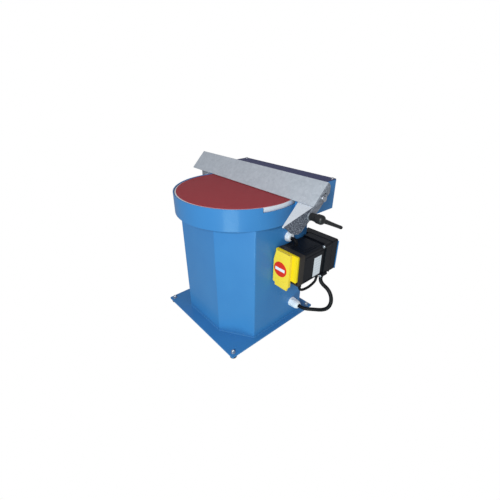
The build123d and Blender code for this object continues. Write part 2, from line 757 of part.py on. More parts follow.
box_body = block(box_left, box_right, box_front, box_step, box_low, box_high)
box_body = fillet(box_body.edges().filter_by(Axis.Y), 4.0)
box_wide = block(box_left, wide_right, box_step, box_rear, wide_low, wide_high)
box_wide = fillet(box_wide.edges().filter_by(Axis.Y), 4.0)
box_behind = block(box_behind_left, box_left + 10, column_rear + box_behind_gap, box_rear,
                   wide_low, wide_high)
box_wide += fillet(box_behind.edges().filter_by(Axis.Y).group_by(Axis.X)[0], 4.0)
switch_box = box_body + box_wide
boss_places = [(box_right + 3.0, z) for z in (box_low - 1.0, box_high + 1.0)]
for x, z in boss_places:
    switch_box += along_y(5.5, box_step - 14, box_step + 12, x, z)
switch_box -= block(box_left + box_wall, box_right - box_wall, box_front - 1, box_rear - box_wall,
                    box_low + box_wall, box_high - box_wall)
box_screws = []
for x, z in boss_places:
    switch_box -= along_y(2.0, box_step - 20, box_step + 12, x, z)
    head = along_y(4.2, box_step - 17, box_step - 14, x, z)
    box_screws.append(head + along_y(2.0, box_step - 16, box_step + 10, x, z))
save("switch_box", switch_box)
save("box_screws", *box_screws)

label_low, label_high = box_low + 8.0, box_high - 24.0
label_front, label_rear = 61.0, 92.0
save("rating_label", block(box_right, box_right + 0.5, label_front, label_rear, label_low, label_high))

collar = block(box_left - 1, box_right + 1, collar_front, box_front, box_low + 1, box_high + 1)
collar = fillet(collar.edges().filter_by(Axis.Y), 5.0)
collar_inside = block(box_left + 4, box_right - 4, collar_front - 1, box_front + 1,
                      box_low + 6, box_high - 4)
save("switch_collar", collar - collar_inside)

frame = block(box_left - 1, frame_right, frame_front, collar_front, frame_low, box_high)
frame = fillet(frame.edges().filter_by(Axis.Y), 4.0)
button_gap = 0.3
for z in (stop_button_z, start_button_z):
    frame -= along_y(button_radius + button_gap, frame_front - 1, collar_front + 1, button_x, z)
contact_front = collar_front + 5.0
contact_block = block(button_x - 22, button_x + 22, contact_front + button_travel + 1, box_rear - box_wall,
                      stop_button_z - 14, start_button_z + 14)
button_stop = 3.0
for name, z in (("stop_button", stop_button_z), ("start_button", start_button_z)):
    face = frame_front - button_travel - 1.0
    button = along_y(button_radius, face, contact_front, button_x, z)
    button += along_y(button_radius + 3, collar_front + 0.3, collar_front + button_stop, button_x, z)
    button = fillet(button.edges().filter_by(GeomType.CIRCLE).sort_by(Axis.Y)[:1], 1.2)
    save(name, button)
save("contact_block", contact_block)

# the yellow flap: a tray open towards the frame, with a narrower lip, hung on a pin at its top
flap_outline = [(flap_left, flap_low), (flap_right, flap_low), (flap_right, box_high),
                (flap_left + flap_corner_cut, box_high), (flap_left, box_high - flap_corner_drop)]
flap_face = fillet(make_face(Plane.XZ * Polyline(*flap_outline, close=True)).vertices(), 4.0)
flap_rear = frame_front - side_gap
flap = Pos(0, flap_rear, 0) * extrude(flap_face, flap_rear - flap_front, dir=(0, -1, 0))
lip = block(flap_left + 6, flap_right - 7, flap_front + 2, flap_front + 7, flap_lip_low, flap_low + 6)
flap += lip
flap_room = offset(flap_face, -flap_wall)
room_depth = flap_rear + 1 - flap_front - flap_wall
flap -= Pos(0, flap_rear + 1, 0) * extrude(flap_room, room_depth, dir=(0, -1, 0))
knuckle_width = 5.0
pin_hole = flap_pin_radius + running_gap
flap_pin_y_reach = frame_front - flap_pin_y - side_gap
for x in (flap_left + flap_corner_cut, flap_right - knuckle_width):
    flap += along_x(3.0, x, x + knuckle_width, flap_pin_y, flap_pin_z) & block(
        flap_left, flap_right, flap_front, frame_front - side_gap, flap_low, box_high + 5)
flap -= along_x(pin_hole, flap_left - 1, flap_right + 1, flap_pin_y, flap_pin_z)
swing_room = block(flap_left - 1, flap_right + 1, flap_pin_y, frame_front, flap_pin_z, box_high + 1)
flap -= swing_room - along_x(flap_pin_y_reach, flap_left - 2, flap_right + 2, flap_pin_y, flap_pin_z)
pin_post_width = 4.0
pin_post_reach = 2.5
post_places = (flap_left + flap_corner_cut + knuckle_width + side_gap,
               flap_right - knuckle_width - side_gap - pin_post_width)
post_clearance = math.hypot(frame_front - flap_pin_y, pin_post_reach) + side_gap
for x in post_places:
    flap -= along_x(post_clearance, x - side_gap, x + pin_post_width + side_gap, flap_pin_y, flap_pin_z)
save("switch_flap", flap)

flap_pin = along_x(flap_pin_radius, flap_left + flap_corner_cut + 0.5, flap_right - 0.5,
                   flap_pin_y, flap_pin_z)
save("flap_pin", flap_pin)
for x in post_places:
    post = block(x, x + pin_post_width, flap_pin_y - pin_post_reach, frame_front,
                 flap_pin_z - pin_post_reach, flap_pin_z + 0.6)
    frame += post - along_x(flap_pin_radius, x - 1, x + pin_post_width + 1, flap_pin_y, flap_pin_z)
save("switch_frame", frame)

stop_disc_x = (flap_left + flap_right) / 2 - 3
stop_disc_z = box_high - stop_disc_below_top
stop_disc = along_y(stop_disc_radius, flap_front - 1.5, flap_front, stop_disc_x, stop_disc_z)
save("stop_disc", fillet(stop_disc.edges().filter_by(GeomType.CIRCLE).sort_by(Axis.Y)[:1], 1.0))

# ---------------------------------------------------------------- glands
gland_face = column_half_width


def gland(length, y, z):
    """A cable gland on the column's side: a washer face, a hexagon, a domed nose and a thread inside."""
    body = along_x(gland_radius, gland_face, gland_face + 3, y, z)
    body += hex_x(26.0, gland_face + 3, gland_face + length * 0.45, y, z)
    nose = revolve(
        make_face(Plane.XY * Polyline((gland_face + length * 0.45, 0), (gland_face + length * 0.45, 13.5),
                                      (gland_face + length * 0.75, 13.5), (gland_face + length, 8.5),
                                      (gland_face + length, 0), close=True)),
        Axis.X,
    )
    body += Pos(0, y, z) * nose
    body += along_x(gland_thread_radius, gland_face - column_wall - 8, gland_face, y, z)
    return body


save("lower_gland", gland(gland_length, lower_gland_y, lower_gland_z))
save("upper_gland", gland(upper_gland_length, upper_gland_y, upper_gland_z))
lock_nuts = []
for y, z in ((lower_gland_y, lower_gland_z), (upper_gland_y, upper_gland_z)):
    inside = column_half_width - column_wall
    nut = hex_x(27.0, inside - 5, inside, y, z)
    lock_nuts.append(nut - along_x(gland_thread_radius, inside - 9, inside + 1, y, z))
save("gland_lock_nuts", *lock_nuts)

elbow_x = gland_face + upper_gland_length
elbow_z = upper_gland_z - 3
elbow_path = FilletPolyline((elbow_x, upper_gland_y, elbow_z), (elbow_x + elbow_reach, upper_gland_y, elbow_z),
                            (elbow_x + elbow_reach, upper_gland_y, box_high), radius=elbow_bend)
elbow_start = Plane(origin=elbow_path @ 0, z_dir=elbow_path % 0)
save("upper_elbow", sweep(elbow_start * Circle(elbow_radius), path=elbow_path))

box_gland_top = wide_low
box_gland_low = box_gland_top - box_gland_reach
box_gland = upright(box_gland_radius, box_gland_top - 8, box_gland_top, box_gland_x, box_gland_y)
box_gland += Pos(box_gland_x, box_gland_y, box_gland_low + box_gland_nose / 2) * Cone(
    6.0, box_gland_radius - 0.5, box_gland_nose)
box_glands = [box_gland]
for y in (link_lead_front, link_lead_rear):
    low = box_low + (1.0 if y < box_front else 0.0)
    box_glands.append(upright(link_lead_diameter / 2 + 1.2, low - grommet_length, low, link_lead_x, y))
save("box_glands", *box_glands)


# ---------------------------------------------------------------- leads
def cord(name, points, diameter):
    """A round lead along straight runs joined by arcs as large as the runs allow."""
    spots = [Vector(*p) for p in points]
    radii = []
    for before, corner, after in zip(spots, spots[1:], spots[2:]):
        first, second = corner - before, after - corner
        turn = math.radians(first.get_angle(second))
        radii.append(0.45 * min(first.length, second.length) / math.tan(turn / 2))
    path = FilletPolyline(*spots, radius=radii)
    tube = sweep(Plane(origin=path @ 0, z_dir=path % 0) * Circle(diameter / 2), path=path)
    expected = math.pi * diameter**2 / 4 * path.length
    print(name, "length", round(path.length, 1), "volume ratio", round(tube.volume / expected, 4),
          "radii", [round(r, 1) for r in radii])
    save(name, tube)


lead_drop = box_gland_low - lower_gland_z
lead_turns = [
    (box_gland_x, box_gland_y, 1.0),
    (box_gland_x, box_gland_y, 0.89),
    (247.0, 120.0, 0.807),
    (268.0, 119.5, 0.75),
    (282.6, 116.6, 0.615),
    (287.8, 113.0, 0.428),
    (281.2, 109.0, 0.242),
    (264.2, 105.5, 0.112),
    (240.5, 97.0, 0.045),
    (220.5, 86.0, 0.004),
    (206.0, lower_gland_y, 0.0),
    (gland_face + gland_length, lower_gland_y, 0.0),
]
motor_lead_points = [(x, y, lower_gland_z + share * lead_drop) for x, y, share in lead_turns]
cord("motor_lead", motor_lead_points, motor_lead_diameter)

link_sag = [
    (link_lead_x, link_lead_front, 4.0),
    (link_lead_x, link_lead_front, 10.5),
    (244.5, 20.0, 18.0),
    (245.5, 36.0, 21.0),
    (245.5, 54.0, 21.5),
    (244.5, 71.0, 19.5),
    (link_lead_x, link_lead_rear, 15.0),
    (link_lead_x, link_lead_rear, grommet_length),
]
link_lead_points = [(x, y, box_low - drop) for x, y, drop in link_sag]
cord("link_lead", link_lead_points, link_lead_diameter)
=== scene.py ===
import math
import bmesh
import bpy
import numpy as np
from mathutils import Matrix, Vector


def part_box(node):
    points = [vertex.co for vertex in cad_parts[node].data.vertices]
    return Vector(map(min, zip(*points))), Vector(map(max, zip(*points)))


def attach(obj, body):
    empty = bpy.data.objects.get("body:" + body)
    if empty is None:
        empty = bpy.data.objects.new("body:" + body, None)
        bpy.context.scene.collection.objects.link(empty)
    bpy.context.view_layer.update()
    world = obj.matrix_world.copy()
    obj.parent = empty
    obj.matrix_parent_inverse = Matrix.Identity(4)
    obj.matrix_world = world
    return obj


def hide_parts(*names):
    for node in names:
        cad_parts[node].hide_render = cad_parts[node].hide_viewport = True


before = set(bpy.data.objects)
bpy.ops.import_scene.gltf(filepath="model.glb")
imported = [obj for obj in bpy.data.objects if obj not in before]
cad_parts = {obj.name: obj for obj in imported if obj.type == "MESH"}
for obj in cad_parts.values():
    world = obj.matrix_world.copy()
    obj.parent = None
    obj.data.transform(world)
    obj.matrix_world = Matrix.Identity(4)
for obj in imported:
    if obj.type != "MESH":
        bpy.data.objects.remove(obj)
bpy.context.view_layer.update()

# ---------------------------------------------------------------- camera and studio light
# A small flash stands high beside the camera, a slightly cyan lamp below floor level stands for light off the
# floor, and a dim even room fills the shadows. Places, strengths and colours were set to match the picture.
view_lens = 21.218
view_place = (0.64463, -0.5226, 0.67199)
view_pitch, view_turn, view_roll = 0.49912, 0.846576, 0.004455
camera = bpy.data.objects.new("camera", bpy.data.cameras.new("camera"))
camera.data.lens = view_lens
camera.data.sensor_width = 36.0
camera.matrix_world = (
    Matrix.Translation(view_place)
    @ Matrix.Rotation(view_turn, 4, "Z")
    @ Matrix.Rotation(math.pi / 2 - view_pitch, 4, "X")
    @ Matrix.Rotation(view_roll, 4, "Z")
)
bpy.context.scene.collection.objects.link(camera)
bpy.context.scene.camera = camera
bpy.context.scene.view_settings.view_transform = "Standard"


def lamp(name, place, aim, size, watts, colour=(1.0, 1.0, 1.0)):
    """A rectangular lamp at place that faces aim."""
    light = bpy.data.lights.new(name, "AREA")
    light.shape = "RECTANGLE"
    light.size, light.size_y = size
    light.energy = watts
    light.color = colour
    holder = bpy.data.objects.new(name, light)
    toward = Vector(aim) - Vector(place)
    holder.matrix_world = Matrix.Translation(place) @ toward.to_track_quat("-Z", "Y").to_matrix().to_4x4()
    bpy.context.scene.collection.objects.link(holder)


lamp("flash", (0.86, -1.16, 1.05), (0.0, 0.0, 0.25), (0.30, 0.30), 17.5)
lamp("bounce", (0.86, -1.06, -0.22), (0.0, 0.0, 0.30), (0.6, 0.4), 6.0, (0.66, 1.0, 0.96))

room = bpy.data.worlds.new("room")
bpy.context.scene.world = room
room.use_nodes = True
room.node_tree.nodes["Background"].inputs["Color"].default_value = (0.95, 0.97, 1.0, 1.0)
room.node_tree.nodes["Background"].inputs["Strength"].default_value = 0.42


# ---------------------------------------------------------------- finishes, mixed as sums of shader values
# Every finish is mixed from patterns on the piece's own coordinates, in metres.
class Wire:
    """One shader value: sums, differences, products and quotients of it add Math nodes."""

    def __init__(self, finish, socket):
        self.finish, self.socket = finish, socket

    def math(self, operation, *values):
        return self.finish.node("ShaderNodeMath", {"operation": operation}, dict(enumerate(values)))

    def __add__(self, other):
        return self.math("ADD", self, other)

    def __sub__(self, other):
        return self.math("SUBTRACT", self, other)

    def __rsub__(self, other):
        return self.math("SUBTRACT", other, self)

    def __mul__(self, other):
        return self.math("MULTIPLY", self, other)

    def __truediv__(self, other):
        return self.math("DIVIDE", self, other)

    __radd__ = __add__
    __rmul__ = __mul__

    def above(self, level, soft):
        """0 below level - soft and 1 above level + soft, with a smooth step between."""
        return self.finish.node("ShaderNodeMapRange", {"interpolation_type": "SMOOTHSTEP"},
                                {"Value": self, "From Min": level - soft, "From Max": level + soft})


def tint(red, green, blue):
    """A colour given in 0 to 255 steps, as the linear light that a shader wants."""
    steps = np.array([red, green, blue]) / 255.0
    linear = np.where(steps <= 0.04045, steps / 12.92, ((steps + 0.055) / 1.055) ** 2.4)
    return (*linear.tolist(), 1.0)


class Finish:
    """A material under construction, with the piece's own coordinates ready as place."""

    def __init__(self, name):
        self.material = bpy.data.materials.new(name)
        self.material.use_nodes = True
        self.tree = self.material.node_tree
        self.shader = self.tree.nodes["Principled BSDF"]
        self.place = self.node("ShaderNodeTexCoord", out="Object")

    def node(self, kind, settings=None, sockets=None, out=0):
        """Adds a node: its settings first, then the values or links of its sockets, and gives one output."""
        made = self.tree.nodes.new(kind)
        for key, value in (settings or {}).items():
            setattr(made, key, value)
        for key, value in (sockets or {}).items():
            if isinstance(value, Wire):
                self.tree.links.new(value.socket, made.inputs[key])
            else:
                made.inputs[key].default_value = value
        return Wire(self, made.outputs[out])

    def stretched(self, x, y, z):
        """The piece's coordinates scaled by x, y and z, for a pattern longer one way than another."""
        return self.node("ShaderNodeMapping", None, {"Vector": self.place, "Scale": (x, y, z)})

    def cloud(self, size, detail=3.0, roughness=0.55, where=None, warp=0.0):
        """Noise whose blots are about size metres across, from 0 to 1."""
        return self.node("ShaderNodeTexNoise", None, {"Vector": where or self.place, "Scale": 1.0 / size,
                                                      "Detail": detail, "Roughness": roughness,
                                                      "Distortion": warp})

    def cells(self, size, out="Distance", where=None):
        return self.node("ShaderNodeTexVoronoi", None, {"Vector": where or self.place, "Scale": 1.0 / size}, out)

    def blend(self, share, first, second):
        """A colour between first and second."""
        return self.node("ShaderNodeMix", {"data_type": "RGBA"}, {0: share, 6: first, 7: second}, 2)

    def whole(self, value, operation):
        """One value through a Math node that takes one, such as its fraction."""
        return self.node("ShaderNodeMath", {"operation": operation}, {0: value})

    def bump(self, height, depth, strength=1.0, over=None):
        sockets = {"Height": height, "Distance": depth, "Strength": strength}
        if over is not None:
            sockets["Normal"] = over
        return self.node("ShaderNodeBump", None, sockets)

    def done(self, **sockets):
        """Joins values to the shader's own sockets and gives the material."""
        for key, value in sockets.items():
            socket = self.shader.inputs[key.replace("_", " ")]
            if isinstance(value, Wire):
                self.tree.links.new(value.socket, socket)
            else:
                socket.default_value = value
        return self.material


def enamel(name, light, dark, shine=0.25, lacquer=0.12):
    """Glossy sprayed enamel: faint orange peel, slow drift of colour, and small dull scuffs."""
    f = Finish(name)
    drift = f.cloud(0.09, 2.0)
    speck = f.cloud(0.0035, 4.0).above(0.70, 0.03) * f.cloud(0.05, 2.0).above(0.55, 0.08)
    body = f.blend(drift, dark, light)
    body = f.blend(speck * 0.35, body, tint(150, 175, 205))
    peel = f.bump(f.cloud(0.0022, 2.0), 0.00010, 0.35)
    dull = 0.32 + f.cloud(0.02, 3.0) * 0.12 + speck * 0.3
    return f.done(Base_Color=body, Roughness=dull, Normal=peel, Coat_Weight=lacquer, Coat_Roughness=0.12,
                  Specular_IOR_Level=shine)


blue_enamel = enamel("blue_enamel", tint(60, 127, 186), tint(52, 117, 178))


# ---------------------------------------------------------------- shapes, floor and backdrop
# Grid skins make every mesh. The floor and the ball round it are plain white and seen by the camera only, so they
# cast no light and take no shadow.
def skin(points, around=False, lids=False):
    """Vertices and faces over the grid points[i, j]. Each face joins four neighbours; around joins the last
    column to the first; lids closes the first and the last row with one face each."""
    rows, columns = points.shape[:2]
    index = np.arange(rows * columns).reshape(rows, columns)
    ring = np.concatenate([index, index[:, :1]], 1) if around else index
    quads = np.stack([ring[:-1, :-1], ring[:-1, 1:], ring[1:, 1:], ring[1:, :-1]], -1).reshape(-1, 4).tolist()
    if lids:
        quads += [index[0][::-1].tolist(), index[-1].tolist()]
    return points.reshape(-1, 3), quads


def raw_mesh(name, *skins):
    """One mesh of several skins, with equal points merged and faces turned outwards."""
    verts, faces, start = [], [], 0
    for points, quads in skins:
        verts.append(points)
        faces += [[start + k for k in face] for face in quads]
        start += len(points)
    mesh = bpy.data.meshes.new(name)
    mesh.from_pydata(np.concatenate(verts).tolist(), [], faces)
    shape = bmesh.new()
    shape.from_mesh(mesh)
    bmesh.ops.remove_doubles(shape, verts=shape.verts, dist=1e-6)
    bmesh.ops.dissolve_degenerate(shape, edges=shape.edges, dist=1e-7)
    bmesh.ops.recalc_face_normals(shape, faces=shape.faces)
    shape.to_mesh(mesh)
    shape.free()
    return mesh


def settle(piece, finish, body, nodes=(), crease=38.0):
    """Shades a piece smooth up to its creases, and gives it its finish, its body and the nodes it
    stands for."""
    mesh = piece.data
    if piece.name not in bpy.context.scene.collection.objects:
        bpy.context.scene.collection.objects.link(piece)
    if piece.type == "MESH":
        mesh.polygons.foreach_set("use_smooth", np.ones(len(mesh.polygons), bool))
        mesh.set_sharp_from_angle(angle=math.radians(crease))
        weigh = piece.modifiers.new("even_shading", "WEIGHTED_NORMAL")
        weigh.keep_sharp = True
    mesh.materials.clear()
    mesh.materials.append(finish)
    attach(piece, body)
    if nodes:
        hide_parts(*nodes)
    return piece


def made(name, skins, finish, body, slot, nodes=(), crease=38.0):
    """A new piece from its skins."""
    return settle(bpy.data.objects.new(name, raw_mesh(name, *skins)), finish, body, nodes, crease)


paper = Finish("paper")
paper_white = paper.done(Base_Color=(0.0, 0.0, 0.0, 1.0), Roughness=1.0, Specular_IOR_Level=0.0,
                         Emission_Color=(1.0, 1.0, 1.0, 1.0), Emission_Strength=1.0)
floor_reach, backdrop_radius = 60.0, 12
floor_points = floor_reach * np.array([[[-1.0, -1, 0], [1, -1, 0]], [[-1, 1, 0], [1, 1, 0]]])
turns_down, turns_round = np.meshgrid(np.linspace(0, np.pi, 17), np.linspace(0, 2 * np.pi, 33), indexing="ij")
backdrop_points = backdrop_radius * np.stack([np.sin(turns_down) * np.cos(turns_round),
                                              np.sin(turns_down) * np.sin(turns_round), np.cos(turns_down)], -1)
for name, points in (("floor", floor_points), ("backdrop", backdrop_points)):
    sheet = bpy.data.objects.new(name, raw_mesh(name, skin(points)))
    bpy.context.scene.collection.objects.link(sheet)
    sheet.data.materials.append(paper_white)
    sheet.visible_diffuse = sheet.visible_glossy = sheet.visible_transmission = sheet.visible_shadow = False

# ---------------------------------------------------------------- leads
# The thick round lead runs from the switch box to the motor's gland in the column, and the thin one links the
# two compartments of the box. Both are black PVC, extruded, with a dull surface that picks up dust.
f = Finish("lead_sheath")
sheath = f.done(Base_Color=f.blend(f.cloud(0.006, 3.0), tint(7, 8, 11), tint(15, 16, 20)),
                Specular_IOR_Level=0.25, Roughness=0.42 + f.cloud(0.01, 2.0) * 0.2,
                Normal=f.bump(f.cloud(0.0012, 2.0), 0.00006, 0.5))


def lead(name, points, diameter, nodes):
    """A round lead on a smooth line with these points as its controls."""
    curve = bpy.data.curves.new(name, "CURVE")
    curve.dimensions = "3D"
    line = curve.splines.new("NURBS")
    line.points.add(len(points) - 1)
    line.points.foreach_set("co", np.c_[np.array(points), np.ones(len(points))].ravel())
    line.order_u = 3
    line.use_endpoint_u = True
    line.resolution_u = 12
    curve.bevel_depth = diameter / 2
    curve.bevel_resolution = 6
    curve.use_fill_caps = True
    piece = bpy.data.objects.new(name, curve)
    settle(piece, sheath, "machine", nodes)
    return piece


motor_lead_points = [
    (0.2360, 0.1200, 0.1830), (0.2360, 0.1200, 0.1706), (0.2470, 0.1200, 0.1612), (0.2680, 0.1195, 0.1547),
    (0.2826, 0.1166, 0.1395), (0.2878, 0.1130, 0.1184), (0.2812, 0.1090, 0.0973), (0.2642, 0.1055, 0.0827),
    (0.2405, 0.0970, 0.0751), (0.2205, 0.0860, 0.0705), (0.2060, 0.0820, 0.0700), (0.1958, 0.0820, 0.0700),
]
lead("motor_cable", motor_lead_points, 0.0115, ["motor_lead"])
link_lead_points = [
    (0.243, 0.012, 0.202), (0.243, 0.012, 0.1955), (0.2445, 0.020, 0.188), (0.2455, 0.036, 0.185),
    (0.2455, 0.054, 0.1845), (0.2445, 0.071, 0.1865), (0.243, 0.086, 0.191), (0.243, 0.086, 0.201),
]
lead("link_cable", link_lead_points, 0.0075, ["link_lead"])


# ---------------------------------------------------------------- base plate
# A square 5 mm steel plate, sheared, with its corners knocked off and sprayed with the column. Every cut or
# folded part that follows is a merged copy of its CAD shape with its edges broken by a small bevel.
def eased(name, node, finish, body, width, steps=2, crease=38.0):
    """A merged copy of a CAD part with its edges rounded to width."""
    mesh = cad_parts[node].data.copy()
    mesh.name = name
    shape = bmesh.new()
    shape.from_mesh(mesh)
    bmesh.ops.remove_doubles(shape, verts=shape.verts, dist=2e-6)
    bmesh.ops.dissolve_degenerate(shape, edges=shape.edges, dist=1e-6)
    bmesh.ops.dissolve_limit(shape, angle_limit=math.radians(0.5), verts=shape.verts, edges=shape.edges)
    shape.to_mesh(mesh)
    shape.free()
    for layer in list(mesh.uv_layers):
        mesh.uv_layers.remove(layer)
    piece = bpy.data.objects.new(name, mesh)
    ease = piece.modifiers.new("eased_edges", "BEVEL")
    ease.width = width
    ease.segments = steps
    ease.limit_method = "ANGLE"
    ease.angle_limit = math.radians(40)
    return settle(piece, finish, body, [node], crease)


eased("foot_plate", "base_plate", blue_enamel, "machine", 0.0006)

# ---------------------------------------------------------------- feet, their bolts and cap nuts
# Turned rubber buffers with a grip ring, held by M6 bolts, each with a bright flanged cap nut above the plate.
rubber = Finish("rubber")
rubber = rubber.done(Base_Color=rubber.blend(rubber.cloud(0.004, 4.0), tint(20, 20, 21), tint(38, 38, 38)),
                     Roughness=0.75, Normal=rubber.bump(rubber.cloud(0.0006, 3.0), 0.0001, 0.6))


def plated(name, colour, rough, drift):
    """Bright zinc plating: metal with a soft blotchy sheen and fine tool marks."""
    f = Finish(name)
    blot = f.cloud(0.006, 3.0)
    marks = f.cloud(0.0008, 2.0, where=f.stretched(1.0, 1.0, 0.15))
    return f.done(Base_Color=f.blend(blot, colour, drift), Metallic=0.9,
                  Roughness=rough + blot * 0.12 + marks * 0.06, Normal=f.bump(marks, 0.00004, 0.4))


zinc = plated("bright_zinc", tint(205, 208, 214), 0.22, tint(178, 182, 190))


def axes(along):
    """Three unit vectors as rows: across, up and along, the last in the given direction."""
    along = np.array(along, float) / np.linalg.norm(along)
    across = np.cross([0.0, 1.0, 0.0] if abs(along[1]) < 0.9 else [0.0, 0.0, 1.0], along)
    across /= np.linalg.norm(across)
    return np.array([across, np.cross(along, across), along])


def turned(profile, centre, along=(0, 0, 1), steps=64, ribs=0, rib_depth=0.0):
    """A profile of (radius, height) turned about an axis: a point is centre + radius * (cos a, sin a) across it
    + height along it. Ribs add rib_depth * cos(ribs * a) to every radius above a third of the largest."""
    profile = np.array(profile, float)
    a = np.linspace(0, 2 * np.pi, steps, endpoint=False)
    radius = profile[:, :1] + 0 * a
    if ribs:
        radius = radius + rib_depth * np.cos(ribs * a) * (profile[:, :1] > 0.34 * profile[:, 0].max())
    local = np.stack([radius * np.cos(a), radius * np.sin(a), profile[:, 1:] + 0 * a], -1)
    return skin(np.array(centre) + local @ axes(along), around=True)


def six_sided(flats, height, centre, along=(0, 0, 1), bore=0.0):
    """A hexagon nut or head with its outer corners chamfered: its rim is flats / 2 / cos(angle from the middle
    of a flat), and its top falls 30 degrees outside a circle just inside the flats."""
    a = np.radians(np.arange(0, 360, 5))
    rim = flats / 2 / np.cos((a + np.pi / 6) % (np.pi / 3) - np.pi / 6)
    circle = 0.94 * flats / 2 + 0 * a
    fall = (rim - circle) * math.tan(math.radians(30))
    radius = np.stack([bore + 0 * a, circle, rim, rim, circle, bore + 0 * a])
    level = np.stack([height + 0 * a, height + 0 * a, height - fall, 0.3 * fall, 0 * a, 0 * a])
    local = np.stack([radius * np.cos(a), radius * np.sin(a), level], -1)
    return skin(np.array(centre) + local @ axes(along), around=True)


def dome(radius, height, from_level, rings=6):
    """The (radius, height) profile of a cap, from its rim to its top."""
    t = np.linspace(0, np.pi / 2, rings)
    return np.c_[radius * np.cos(t), from_level + height * np.sin(t)]


foot_x, foot_y, plate_top = 0.167, 0.162, 0.015
foot_spots = [(sx * foot_x, sy * foot_y) for sx in (-1, 1) for sy in (-1, 1)]
foot_profile = [(0.0034, 0.005), (0.007, 0.005), (0.007, 0.0004), (0.0074, 0.0), (0.0096, 0.0), (0.0101, 0.0006),
                (0.0106, 0.0032), (0.0101, 0.0038), (0.0103, 0.0048), (0.0111, 0.0052), (0.0116, 0.0094),
                (0.0112, 0.010), (0.0034, 0.010), (0.0034, 0.005)]
nut_low = plate_top + 0.0012
feet, foot_bolts, cap_nuts = [], [], []
for x, y in foot_spots:
    feet.append(turned(foot_profile, (x, y, 0)))
    foot_bolts += [six_sided(0.010, 0.004, (x, y, 0.005), (0, 0, -1)),
                   turned([(0, 0.005), (0.003, 0.005), (0.003, 0.0205), (0, 0.0205)], (x, y, 0), steps=32)]
    cap_nuts += [turned([(0.0030, 0.0), (0.0063, 0.0), (0.0065, 0.0003), (0.0062, 0.0009), (0.0050, 0.0013),
                         (0.0030, 0.0013)], (x, y, plate_top), steps=48),
                 six_sided(0.010, 0.005, (x, y, nut_low)),
                 turned([(0.0044, -0.0006), *dome(0.0044, 0.0044, 0.0)], (x, y, nut_low + 0.005), steps=32)]
made("foot_buffers", feet, rubber, "machine", "black_rubber", ["rubber_feet"])
made("buffer_bolts", foot_bolts, zinc, "machine", "zinc_hardware", ["foot_bolts"])
made("cap_nuts", cap_nuts, zinc, "machine", "zinc_hardware", ["foot_cap_nuts"])

# ---------------------------------------------------------------- column and its welds
# One sheet, folded six times and closed at the back, welded to the plate and under the drum. The welds are
# small rounded beads with the ripple of a hand-held torch, sprayed over.
eased("column_sheet", "column", blue_enamel, "machine", 0.0005)


def rounded(corners, radius, steps=6):
    """A closed outline with its corners rounded: each corner becomes an arc that touches both its sides."""
    corners = np.array(corners, float)
    radius = np.broadcast_to(np.array(radius, float), (len(corners),))
    to_last = np.roll(corners, 1, 0) - corners
    to_next = np.roll(corners, -1, 0) - corners
    to_last /= np.linalg.norm(to_last, axis=1)[:, None]
    to_next /= np.linalg.norm(to_next, axis=1)[:, None]
    half = np.arccos(np.clip((to_last * to_next).sum(1), -1, 1)) / 2
    reach = radius / np.tan(half)
    middle = to_last + to_next
    middle /= np.linalg.norm(middle, axis=1)[:, None]
    hub = corners + middle * (radius / np.sin(half))[:, None]
    start = corners + to_last * reach[:, None] - hub
    end = corners + to_next * reach[:, None] - hub
    t = np.linspace(0, 1, steps)[None, :, None]
    turn = (np.pi - 2 * half)[:, None, None]
    spin = np.maximum(np.sin(turn), 1e-9)
    arc = start[:, None] * np.sin((1 - t) * turn) / spin + end[:, None] * np.sin(t * turn) / spin
    return (hub[:, None] + arc).reshape(-1, 2)


def outward(outline):
    """The outward direction at each point of a closed anticlockwise outline, long enough to keep both sides
    parallel when the outline is offset by it."""
    side = np.roll(outline, -1, 0) - outline
    side = np.stack([side[:, 1], -side[:, 0]], 1) / np.linalg.norm(side, axis=1)[:, None]
    both = side + np.roll(side, 1, 0)
    return both * 2 / np.maximum((both * both).sum(1), 1.0)[:, None]


def along_line(outline, spacing):
    """The same closed outline with points at an even spacing."""
    closed = np.concatenate([outline, outline[:1]])
    run = np.r_[0, np.cumsum(np.linalg.norm(np.diff(closed, axis=0), axis=1))]
    where = np.linspace(0, run[-1], int(run[-1] / spacing), endpoint=False)
    return np.stack([np.interp(where, run, closed[:, k]) for k in (0, 1)], 1)


column_corners = np.array([(-0.0944, -0.1394), (0.0693, -0.1394), (0.1638, -0.0791), (0.1638, 0.128),
                           (-0.1638, 0.128), (-0.1638, -0.0791)])
column_top = 0.3675


def weld(level, rise, size):
    """A bead round the column: a quarter round of radius size whose radius waves by a tenth every 2.2 mm."""
    line = along_line(rounded(column_corners, 0.005), 0.0007)
    out = outward(line)
    step = np.arange(len(line)) * 0.0007
    wave = size * (1 + 0.10 * np.sin(step * 2 * np.pi / 0.0022) + 0.06 * np.sin(step * 61.0))[:, None]
    t = np.linspace(0, np.pi / 2, 5)[None, :]
    reach, height = wave * np.cos(t), wave * np.sin(t) * rise
    reach = np.concatenate([reach, 0 * reach[:, :1] - 0.0004], 1)
    height = np.concatenate([height, 0 * height[:, :1]], 1)
    flat = line[:, None] + out[:, None] * reach[..., None]
    ring = np.concatenate([flat, (level + height)[..., None]], -1)
    return skin(np.concatenate([ring, ring[:1]]), around=True)


made("column_welds", [weld(plate_top, 1, 0.0022), weld(column_top, -1, 0.0018)], blue_enamel, "machine",
     "blue_paint")

# ---------------------------------------------------------------- drum
# A rolled and welded ring with a floor plate, its rim dressed smooth by hand, lowered on the right and behind.
eased("drum_shell", "drum", blue_enamel, "machine", 0.0009, steps=3)

